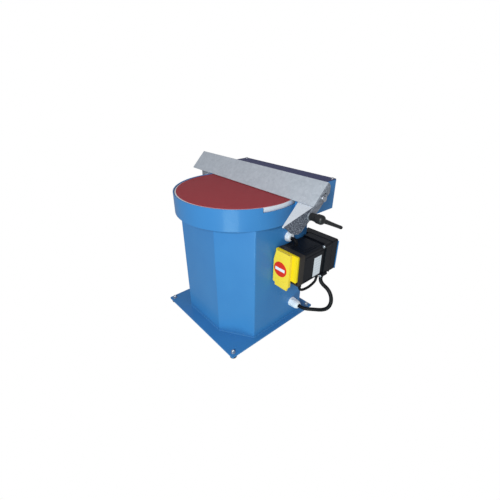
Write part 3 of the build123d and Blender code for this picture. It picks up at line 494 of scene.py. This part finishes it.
# ---------------------------------------------------------------- disc and abrasive
# A turned aluminium disc, its edge left bright with the rings of the tool, and a stuck-on sheet of red-brown
# aluminium-oxide abrasive: sharp grains in resin on cloth, a little worn and loaded in scattered patches.
f = Finish("turned_aluminium")
rings = f.cloud(0.0006, 1.0, where=f.stretched(0.02, 0.02, 1.0))
turned_metal = f.done(Base_Color=f.blend(rings, tint(222, 228, 238), tint(240, 244, 250)), Metallic=0.30,
                      Roughness=0.20 + rings * 0.18, Normal=f.bump(rings, 0.00003, 0.5))
eased("backing_plate", "backing_disc", turned_metal, "spindle", 0.0003)

f = Finish("abrasive_grit")
grain = f.cells(0.0011)
fine = f.cloud(0.0007, 2.0)
worn = f.cloud(0.05, 3.0)
grit_colour = f.blend(grain.above(0.42, 0.30), tint(190, 58, 66), tint(128, 30, 40))
grit_colour = f.blend(fine.above(0.60, 0.08) * 0.55, grit_colour, tint(208, 108, 112))
grit_colour = f.blend(worn * 0.35, grit_colour, tint(146, 44, 54))
grit = f.done(Base_Color=grit_colour, Roughness=0.62 + grain * 0.3,
              Normal=f.bump(grain * 0.6 + fine * 0.5, 0.0006, 0.8))
made("abrasive_sheet", [turned([(0, 0.4238), (0.1744, 0.4238), (0.1744, 0.4246), (0.1741, 0.42495),
                                (0.1737, 0.425), (0.12, 0.425), (0.06, 0.425), (0, 0.425)], (0, 0, 0), steps=240)],
     grit, "spindle", "abrasive", ["abrasive_disc"])

# ---------------------------------------------------------------- fence and what carries it
# Cut and folded galvanised sheet. The zinc shows its spangle, a dull bloom and a few handling marks. The fence
# is bolted through slots in its two end cheeks, which turn on the arms.
def galvanised(name, grain, light, dark, contrast, sheen, painted_shade_from=None):
    """Hot-dip zinc: flat crystals of slightly different grey, a dull bloom, and rubbed streaks along X. Where X
    is above the last argument, if one is given, the sheet is darker and flecked: painted shade, a choice made to
    match the picture."""
    f = Finish(name)
    pick = f.node("ShaderNodeSeparateColor", None, {"Color": f.cells(grain, "Color")})
    bloom = f.cloud(0.03, 4.0, 0.6, warp=0.6)
    streak = f.cloud(0.004, 3.0, where=f.stretched(0.12, 1.0, 1.0))
    marks = f.cloud(0.0025, 4.0, where=f.stretched(0.3, 1.0, 1.0)).above(0.66, 0.05)
    colour = f.blend(pick * contrast + bloom * (1.0 - contrast), dark, light)
    colour = f.blend(marks * 0.4, colour, tint(226, 231, 237))
    # Painted shade: beyond the given X level the colour turns to a dark, flecked grey.
    if painted_shade_from is not None:
        across = f.node("ShaderNodeSeparateXYZ", None, {"Vector": f.place}, "X")
        shaded_fleck = f.blend(f.cloud(0.0028, 3.0).above(0.56, 0.05), tint(70, 75, 88), tint(150, 156, 168))
        colour = f.blend(across.above(painted_shade_from, 0.0002), colour, shaded_fleck)
    return f.done(Base_Color=colour, Metallic=sheen, Roughness=0.36 + pick * 0.10 + bloom * 0.14 + streak * 0.06,
                  Normal=f.bump(streak * 0.5 + bloom * 0.8, 0.00012, 0.5))


# All this sheet is one zinc. The second copy is darker and more mottled: painted shade on the parts that stand out
# of the light. The third, for the right arm, is paler, a painted highlight on its flange, and darker on its outer
# side, painted shade.
bright_sheet = galvanised("bright_sheet", 0.006, tint(206, 213, 222), tint(172, 180, 190), 0.30, 0.35)
shaded_sheet = galvanised("shaded_sheet", 0.004, tint(176, 182, 192), tint(92, 98, 110), 0.60, 0.45)
arm_painted_light_and_shade = galvanised("arm_painted_light_and_shade", 0.004, tint(232, 238, 245), tint(212, 219, 229), 0.30, 0.15,
                       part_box("arm_right")[1][0] - 0.0032)
for name, node, finish, body in (("fence_sheet", "fence_plate", bright_sheet, "fence"),
                                 ("fence_ears", "fence_lugs", shaded_sheet, "fence"),
                                 ("right_cheek", "cheek_right", shaded_sheet, "tilt_cheeks"),
                                 ("left_cheek", "cheek_left", bright_sheet, "tilt_cheeks"),
                                 ("right_arm", "arm_right", arm_painted_light_and_shade, "machine"),
                                 ("left_arm", "arm_left", shaded_sheet, "machine")):
    eased(name, node, finish, body, 0.0005)


def shank(radius, x0, x1, y, z, pitch=0.00125):
    """A threaded bolt along X: its radius falls by a twelfth in every groove, one groove each pitch."""
    count = max(2, int(abs(x1 - x0) / pitch * 2))
    level = np.linspace(0, abs(x1 - x0), count + 1)
    radius = radius * (1 - np.arange(count + 1) % 2 / 12.0)
    profile = np.c_[np.r_[0, radius, 0], np.r_[0, level, level[-1]]]
    return turned(profile, (x0, y, z), (x1 - x0, 0, 0), steps=32)


bolt_y, bolt_z = 0.06005, 0.44179
pivot = (0.020, 0.407)
cheek_right_face, cheek_left_face = 0.250, -0.1983
ear_right, ear_left = 0.2437, -0.1923
fence_hardware = []
for face, inner, side in ((cheek_right_face, ear_right, 1), (cheek_left_face, ear_left, -1)):
    start = face + side * 0.0003
    fence_hardware += [
        turned([(0, 0), (0.0077, 0), (0.008, 0.0003), (0.008, 0.0013), (0.0077, 0.0016), (0, 0.0016)],
               (start, bolt_y, bolt_z), (side, 0, 0)),
        six_sided(0.013, 0.005, (start + side * 0.0016, bolt_y, bolt_z), (side, 0, 0)),
        shank(0.004, start + side * 0.001, inner - side * 0.007, bolt_y, bolt_z),
        six_sided(0.013, 0.006, (inner, bolt_y, bolt_z), (-side, 0, 0)),
    ]
made("fence_fixings", fence_hardware, zinc, "fence", "zinc_hardware", ["fence_bolts"])

arm_hardware = []
arm_bolt_z, arm_outer, hood_inner = 0.410, 0.194, 0.189
for y in (0.060, 0.084):
    for side in (-1, 1):
        arm_hardware += [six_sided(0.010, 0.004, (side * arm_outer, y, arm_bolt_z), (side, 0, 0)),
                         shank(0.003, side * arm_outer, side * 0.183, y, arm_bolt_z, 0.001),
                         six_sided(0.010, 0.005, (side * hood_inner, y, arm_bolt_z), (-side, 0, 0))]
made("arm_fixings", arm_hardware, zinc, "machine", "zinc_hardware", ["arm_bolts"])
made("left_pivot", [six_sided(0.013, 0.005, (-0.1986, *pivot), (-1, 0, 0)),
                    shank(0.004, -0.1984, -0.184, *pivot),
                    six_sided(0.013, 0.006, (-0.191, *pivot), (1, 0, 0))], zinc, "machine", "zinc_hardware",
     ["pivot_bolt_left"])
made("right_pivot", [shank(0.004, 0.2357, 0.2823, *pivot), six_sided(0.013, 0.0065, (0.2437, *pivot), (-1, 0, 0))],
     zinc, "machine", "zinc_hardware", ["pivot_stud", "pivot_nuts"])

# ---------------------------------------------------------------- clamping lever
# A moulded black lever: a ribbed hub on a steel insert and a tapered handle with a rounded end.
f = Finish("lever_plastic")
lever_plastic = f.done(Base_Color=f.blend(f.cloud(0.01, 3.0), tint(14, 14, 16), tint(27, 28, 31)),
                       Roughness=0.36 + f.cloud(0.004, 3.0) * 0.16,
                       Normal=f.bump(f.cloud(0.0007, 2.0), 0.00008, 0.5))
hub_start = 0.2503
handle_root = np.array([hub_start + 0.025, *pivot])
handle_tip = np.array([hub_start + 0.045, 0.085, 0.374])
reach = float(np.linalg.norm(handle_tip - handle_root))
t = np.linspace(0, 1, 24)
handle_radius = 0.0062 - 0.0030 * t + 0.0012 * t ** 3 + 0.0022 * np.exp(-t * 9)
hub_profile = [(0.0042, 0.0), (0.0084, 0.0), (0.0090, 0.0006), (0.0092, 0.013), (0.0099, 0.0155), (0.0112, 0.0185),
               (0.0115, 0.0200), (0.0115, 0.0310), (0.0112, 0.0322), (0.0098, 0.0350), (0.0080, 0.0366),
               (0.0060, 0.0376), (0.0035, 0.0380), (0, 0.0380)]
made("clamping_lever", [
    turned(hub_profile[:5], (hub_start, *pivot), (1, 0, 0), 96, 16, 0.00035),
    turned([hub_profile[0], (0.0042, 0.030), (0, 0.030)], (hub_start, *pivot), (1, 0, 0), 96),
    turned([(0.0085, 0.0150), *hub_profile[4:]], (hub_start, *pivot), (1, 0, 0), 96),
    turned([*np.c_[handle_radius, t * reach], *dome(handle_radius[-1], handle_radius[-1], reach)[1:]],
           handle_root, handle_tip - handle_root, 40)],
     lever_plastic, "clamp_lever", "black_plastic", ["clamp_lever"])

# ---------------------------------------------------------------- dust hood, lid and outlet
# A folded blue box behind the disc and a rolled 60 mm spigot. The lid, held by four cross-head screws, is a darker,
# duller purple-blue: a painted dark reflection.
eased("hood_box", "dust_hood", blue_enamel, "machine", 0.0010, steps=3)
# A darker purple-blue copy of the enamel with little shine: painted dark reflection on the lid.
lid_painted_reflection = enamel("lid_painted_reflection", tint(66, 70, 112), tint(56, 60, 98), 0.05, 0.02)
eased("hood_cover", "hood_lid", lid_painted_reflection, "machine", 0.0007, steps=3)
eased("outlet_spigot", "dust_spigot", blue_enamel, "machine", 0.0005)


def cross_head(radius, height, centre, along, shaft, length):
    """A domed screw head with a cross recess, and its shaft. The top is a dome, lowered by up to half its
    height where a point is within a slot's half width of either arm and inside two thirds of the radius."""
    a = np.linspace(0, 2 * np.pi, 48, endpoint=False)[None, :]
    r = radius * np.linspace(0, 1, 13)[:, None]
    x, y = r * np.cos(a), r * np.sin(a)
    arm = np.minimum(np.abs(x), np.abs(y)) / (0.13 * radius)
    inside = 1 / (1 + np.exp(10 * (arm - 1))) / (1 + np.exp(14 * (r / (0.66 * radius) - 1)))
    top = height * np.sqrt(np.clip(1 - 0.75 * (r / radius) ** 2, 0, 1)) - 0.55 * height * inside
    foot = np.stack([radius * np.cos(a[0]), radius * np.sin(a[0]), 0 * a[0]], -1)[None]
    middle = np.stack([0 * a[0], 0 * a[0], 0 * a[0]], -1)[None]
    head = np.concatenate([np.stack([x, y, top], -1), foot, middle])
    return [skin(np.array(centre) + head @ axes(along), around=True),
            turned([(0, -length), (shaft, -length), (shaft, 0.0002), (0, 0.0002)], centre, along, 20)]


lid_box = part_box("hood_lid")
lid_screws = []
for x in (-0.183, 0.183):
    for y in (lid_box[0][1] + 0.008, lid_box[1][1] - 0.008):
        lid_screws += cross_head(0.005, 0.0032, (x, y, lid_box[1][2]), (0, 0, 1), 0.0024, 0.008)
made("cover_screws", lid_screws, zinc, "machine", "zinc_hardware", ["lid_screws"], crease=60.0)

# ---------------------------------------------------------------- switch bracket and switch box
# A blue bracket welded to the column holds a black moulded box. Its wide rear half is the base, its front half
# the cover, with raised bands along the cover and a lip at the joint.
eased("box_bracket", "switch_bracket", blue_enamel, "machine", 0.0006)


def moulding(name, light, dark, rough, coat=0.0, grain=0.0009, depth=0.00006):
    """Moulded plastic: an even colour with a slow drift, and the fine grain of the mould."""
    f = Finish(name)
    return f.done(Base_Color=f.blend(f.cloud(0.02, 3.0), light, dark), Roughness=rough + f.cloud(0.008, 3.0) * 0.14,
                  Normal=f.bump(f.cloud(grain, 2.0), depth, 0.5), Coat_Weight=coat, Coat_Roughness=0.15,
                  Specular_IOR_Level=0.2)


black_case = moulding("black_case", tint(12, 14, 20), tint(18, 21, 28), 0.34)
collar_black = moulding("collar_black", tint(44, 40, 37), tint(58, 53, 49), 0.40)
eased("case", "switch_box", black_case, "machine", 0.0010, steps=3)
eased("case_collar", "switch_collar", collar_black, "machine", 0.0012, steps=3)


def slab(outline, low, high, ease, centre, along=(0, 0, 1), steps=4):
    """A plate with both rims rounded: the outline is drawn in by ease * (1 - sin) and raised by
    ease * (1 - cos) over a quarter turn at each face."""
    outline = np.array(outline, float)
    t = np.linspace(0, np.pi / 2, steps)
    inset = np.r_[ease * (1 - np.sin(t)), ease * (1 - np.sin(t))[::-1]]
    level = np.r_[low + ease * (1 - np.cos(t)), high - ease * (1 - np.cos(t))[::-1]]
    flat = outline[None] - outward(outline)[None] * inset[:, None, None]
    local = np.concatenate([flat, np.broadcast_to(level[:, None, None], (*flat.shape[:2], 1))], -1)
    return skin(np.array(centre) + local @ axes(along), around=True, lids=True)


def bar(x0, x1, y0, y1, z0, z1, ease, radius=None):
    """An upright bar with all its edges rounded."""
    corners = [(x0, y0), (x1, y0), (x1, y1), (x0, y1)]
    return slab(rounded(corners, radius or 1.2 * ease, 5), z0, z1, ease, (0, 0, 0))


made("case_bands", [
    bar(0.178, 0.236, 0.030, 0.100, 0.2974, 0.2990, 0.0006, 0.004),
    bar(0.184, 0.230, 0.036, 0.094, 0.2984, 0.2998, 0.0005, 0.003),
    bar(0.2466, 0.2480, 0.024, 0.100, 0.2790, 0.2870, 0.0005),
    bar(0.2466, 0.2480, 0.024, 0.100, 0.2100, 0.2130, 0.0005),
    bar(0.1672, 0.2511, 0.1066, 0.1094, 0.2020, 0.3020, 0.0008),
    bar(0.1672, 0.2511, 0.1340, 0.1356, 0.2020, 0.3020, 0.0006),
], black_case, "machine", "black_plastic")
case_screws = []
for z in (0.205, 0.299):
    case_screws += cross_head(0.0042, 0.0030, (0.250, 0.094, z), (0, -1, 0), 0.002, 0.012)
made("case_screws", case_screws, zinc, "machine", "zinc_hardware", ["box_screws"], crease=60.0)

# ---------------------------------------------------------------- rating label
# A white film label with pale grey rules where a maker would print the ratings. It holds no words.
f = Finish("label_film")
across = f.node("ShaderNodeSeparateXYZ", None, {"Vector": f.place}, "Y")
level = f.node("ShaderNodeSeparateXYZ", None, {"Vector": f.place}, "Z")
rule = f.whole(level * 120.0, "FRACT").above(0.86, 0.03)
column_rule = f.whole(across * 83.0, "FRACT").above(0.93, 0.02)
label_middle, label_half = 0.0765, 0.0135
margin = (label_half - f.whole(across - label_middle, "ABSOLUTE")) * 4000.0
film = f.done(Base_Color=f.blend((rule + column_rule * 0.6) * margin.above(0.5, 0.5) * 0.45, tint(228, 233, 240),
                                 tint(140, 146, 158)), Roughness=0.35, Coat_Weight=0.3)
eased("label_plate", "rating_label", film, "machine", 0.0001)

# ---------------------------------------------------------------- switch front
# A bright yellow moulding with a hinged flap over the two push buttons. A plain white bar stands on the flap's
# red disc in place of its lettering.
yellow = moulding("yellow_moulding", tint(242, 216, 72), tint(238, 208, 60), 0.30, 0.1)
yellow_frame = moulding("yellow_frame", tint(238, 212, 26), tint(234, 204, 22), 0.32, 0.1)
red = moulding("red_moulding", tint(222, 52, 22), tint(206, 42, 18), 0.30, 0.2)
green = moulding("green_moulding", tint(30, 140, 60), tint(24, 124, 52), 0.30)
white = moulding("white_moulding", tint(232, 238, 244), tint(218, 226, 234), 0.34)
eased("front_frame", "switch_frame", yellow_frame, "machine", 0.0009, steps=3)
eased("front_flap", "switch_flap", yellow, "switch_flap", 0.0010, steps=3)
eased("flap_disc", "stop_disc", red, "switch_flap", 0.0004)
for name, node, finish, slot in (("stop_knob", "stop_button", red, "red_plastic"),
                                 ("start_knob", "start_button", green, "green_plastic")):
    eased(name, node, finish, node, 0.0006)
disc_low, disc_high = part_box("stop_disc")
disc_x, disc_z = (disc_low[0] + disc_high[0]) / 2, (disc_low[2] + disc_high[2]) / 2
made("disc_bar", [bar(disc_x - 0.0170, disc_x + 0.0170, disc_low[1] - 0.0003, disc_low[1] + 0.0006,
                      disc_z - 0.0045, disc_z + 0.0045, 0.0002, 0.0003)], white, "switch_flap", "white_plastic")
made("flap_bands", [
    bar(0.181, 0.219, -0.0146, -0.0138, 0.2835, 0.2865, 0.0003),
    bar(0.174, 0.219, -0.0146, -0.0138, 0.2080, 0.2105, 0.0003),
], yellow, "switch_flap", "yellow_plastic")
made("frame_band", [bar(0.2285, 0.2400, -0.0057, -0.0049, 0.2240, 0.2930, 0.0003, 0.0004)],
     yellow_frame, "machine", "yellow_plastic")

# ---------------------------------------------------------------- glands, grommets and elbow
# Pale nylon cable glands with a six-sided body and a ribbed dome nut, black ones under the box, and a short
# ribbed conduit from the upper gland into the top of the box.
gland_face = 0.1638
lower_gland, upper_gland = (0.082, 0.070), (0.044, 0.316)


def gland(length, y, z, cable):
    """A washer, a hexagon, a ribbed dome nut with a bore of radius cable, and the thread inside the column."""
    nut_start, nut_end = 0.45 * length, length
    return [
        turned([(0, 0), (0.0147, 0), (0.015, 0.0003), (0.015, 0.0026), (0.0146, 0.003), (0, 0.003)],
               (gland_face, y, z), (1, 0, 0), 72),
        six_sided(0.026, nut_start - 0.003, (gland_face + 0.003, y, z), (1, 0, 0)),
        turned([(0, nut_start), (0.0128, nut_start), (0.0132, nut_start + 0.0006), (0.0132, 0.72 * nut_end),
                (0.0124, 0.82 * nut_end), (0.0106, 0.93 * nut_end), (0.0088, nut_end), (cable, nut_end),
                (cable * 0.98, nut_end - 0.003), (0, nut_end - 0.003)],
               (gland_face, y, z), (1, 0, 0), 144, 18, 0.00030),
        turned([(0, 0), (0.010, 0), (0.010, -0.0105), (0, -0.0105)], (gland_face, y, z), (1, 0, 0), 48),
    ]


made("motor_gland", gland(0.032, *lower_gland, 0.0058), white, "machine", "white_plastic", ["lower_gland"])
made("top_gland", gland(0.013, *upper_gland, 0.0058), white, "machine", "white_plastic", ["upper_gland"])
made("gland_nuts", [six_sided(0.027, 0.005, (gland_face - 0.0025, y, z), (-1, 0, 0), 0.010)
                    for y, z in (lower_gland, upper_gland)], white, "machine", "white_plastic",
     ["gland_lock_nuts"])
black_nylon = moulding("black_nylon", tint(9, 10, 13), tint(16, 17, 21), 0.38)
grommet = [(0, 0), (0.0048, 0), (0.00495, -0.0006), (0.0048, -0.0042), (0.0044, -0.005), (0.0038, -0.005),
           (0.0038, -0.001), (0, -0.001)]
made("case_glands", [
    turned([(0, 0), (0.008, 0), (0.008, -0.0075), (0.0074, -0.0082), (0.0074, -0.0105), (0.0068, -0.0150),
            (0.0064, -0.0200), (0.0058, -0.0200), (0.0058, -0.016), (0, -0.016)], (0.236, 0.120, 0.203), steps=120,
           ribs=20, rib_depth=0.00025),
    turned(grommet, (0.243, 0.012, 0.207), steps=40), turned(grommet, (0.243, 0.086, 0.206), steps=40)],
     black_nylon, "machine", "black_plastic", ["box_glands"])
straight, bend_radius, drop = 0.008, 0.009, 0.006
arc = bend_radius * np.pi / 2
run = np.linspace(0, straight + arc + drop, 90)
bend = np.clip((run - straight) / bend_radius, 0, np.pi / 2)
after = np.clip(run - straight - arc, 0, None)
elbow_line = np.stack([0.1768 + np.minimum(run, straight) + bend_radius * np.sin(bend), upper_gland[0] + 0 * run,
                       0.313 - bend_radius * (1 - np.cos(bend)) - after], 1)
around = np.linspace(0, 2 * np.pi, 32, endpoint=False)[None, :, None]
conduit = (0.0050 + 0.0005 * np.tanh(3 * np.sin(run * 2 * np.pi / 0.0028)))[:, None, None]
out_of_bend = np.stack([np.sin(bend), 0 * bend, np.cos(bend)], 1)[:, None]
made("elbow_conduit", [skin(elbow_line[:, None] + conduit * (np.cos(around) * out_of_bend
                                                           + np.sin(around) * np.array([0, 1.0, 0])),
                            around=True, lids=True)], black_nylon, "machine", "black_rubber", ["upper_elbow"])

# ---------------------------------------------------------------- motor and the rest inside
# The flange motor is a grey cast frame with its end shields, a black fan cover below, and bright and varnished
# parts inside. These keep their CAD shapes, and so do the hub and its screws.
grey_cast = enamel("grey_cast", tint(112, 118, 126), tint(98, 104, 112))
steel = plated("ground_steel", tint(176, 178, 184), 0.30, tint(150, 153, 160))
varnish = moulding("varnished_copper", tint(150, 84, 44), tint(126, 66, 34), 0.35, 0.4)
for finish, nodes in (
    (grey_cast, ("motor_drive_shield", "motor_frame", "motor_fan_shield", "terminal_box", "terminal_lid")),
    (steel, ("rotor_shaft", "rotor_core", "stator_core", "motor_bearings")),
    (varnish, ("stator_windings",)),
    (turned_metal, ("disc_hub",)),
    (zinc, ("disc_screws", "retaining_screw", "motor_bolts", "shaft_key", "flap_pin")),
    (black_case, ("contact_block", "cooling_fan", "fan_cover")),
):
    for node in nodes:
        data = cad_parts[node].data
        data.materials.clear()
        data.materials.append(finish)
